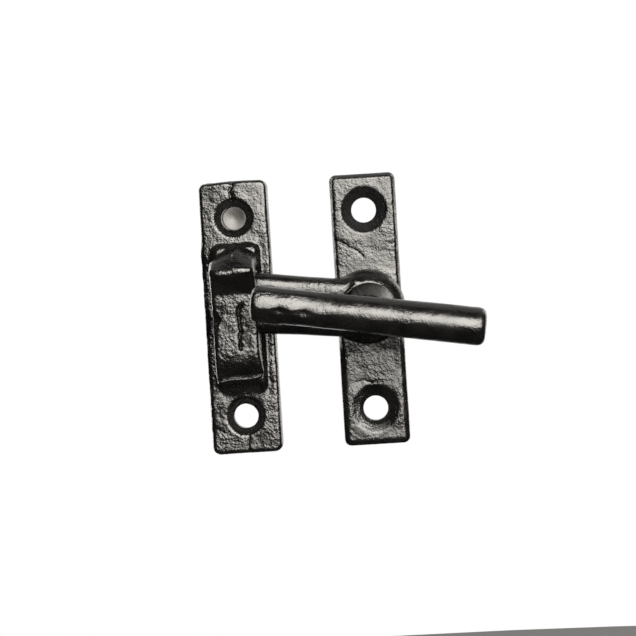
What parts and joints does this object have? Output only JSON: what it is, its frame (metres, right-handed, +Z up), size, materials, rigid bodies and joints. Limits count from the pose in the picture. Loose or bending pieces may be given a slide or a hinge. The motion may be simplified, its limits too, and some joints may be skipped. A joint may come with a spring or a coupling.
{
  "type": "t-bar turn fastener",
  "caption": "T-bar turn fastener for a casement window: a rough cast bar turns a flat tongue behind the strap of a separate hook keep.",
  "frame": {"origin": "on the spindle's axis, in the plane of the joinery that both plates are screwed to", "axes": "+Z up as fitted, -Y out of the joinery towards the user, +X from the keep towards the handle plate"},
  "size_m": [0.0531, 0.0285, 0.0524],
  "materials": {
    "plate_lacquer": "glossy black lacquer over rough cast iron, with orange peel and small casting marks",
    "grip_lacquer": "glossy black lacquer over hammered iron, smoother than the plates",
    "zinc_steel": "zinc-plated steel, satin, slightly dull"
  },
  "bodies": {
    "plates": {"handle_plate": "plate_lacquer", "hook_keep": "plate_lacquer", "friction_washer": "zinc_steel", "spring_washer": "zinc_steel"},
    "handle": {"t_bar_handle": "grip_lacquer", "latch_tongue": "grip_lacquer", "spindle": "zinc_steel", "rear_washer": "zinc_steel"}
  },
  "joints": [
    {"name": "handle_turn", "type": "hinge", "parent": "plates", "child": "handle", "pos_m": [0, 0, 0], "axis": [0, -1, 0], "range_deg": [0, 320]}
  ]
}
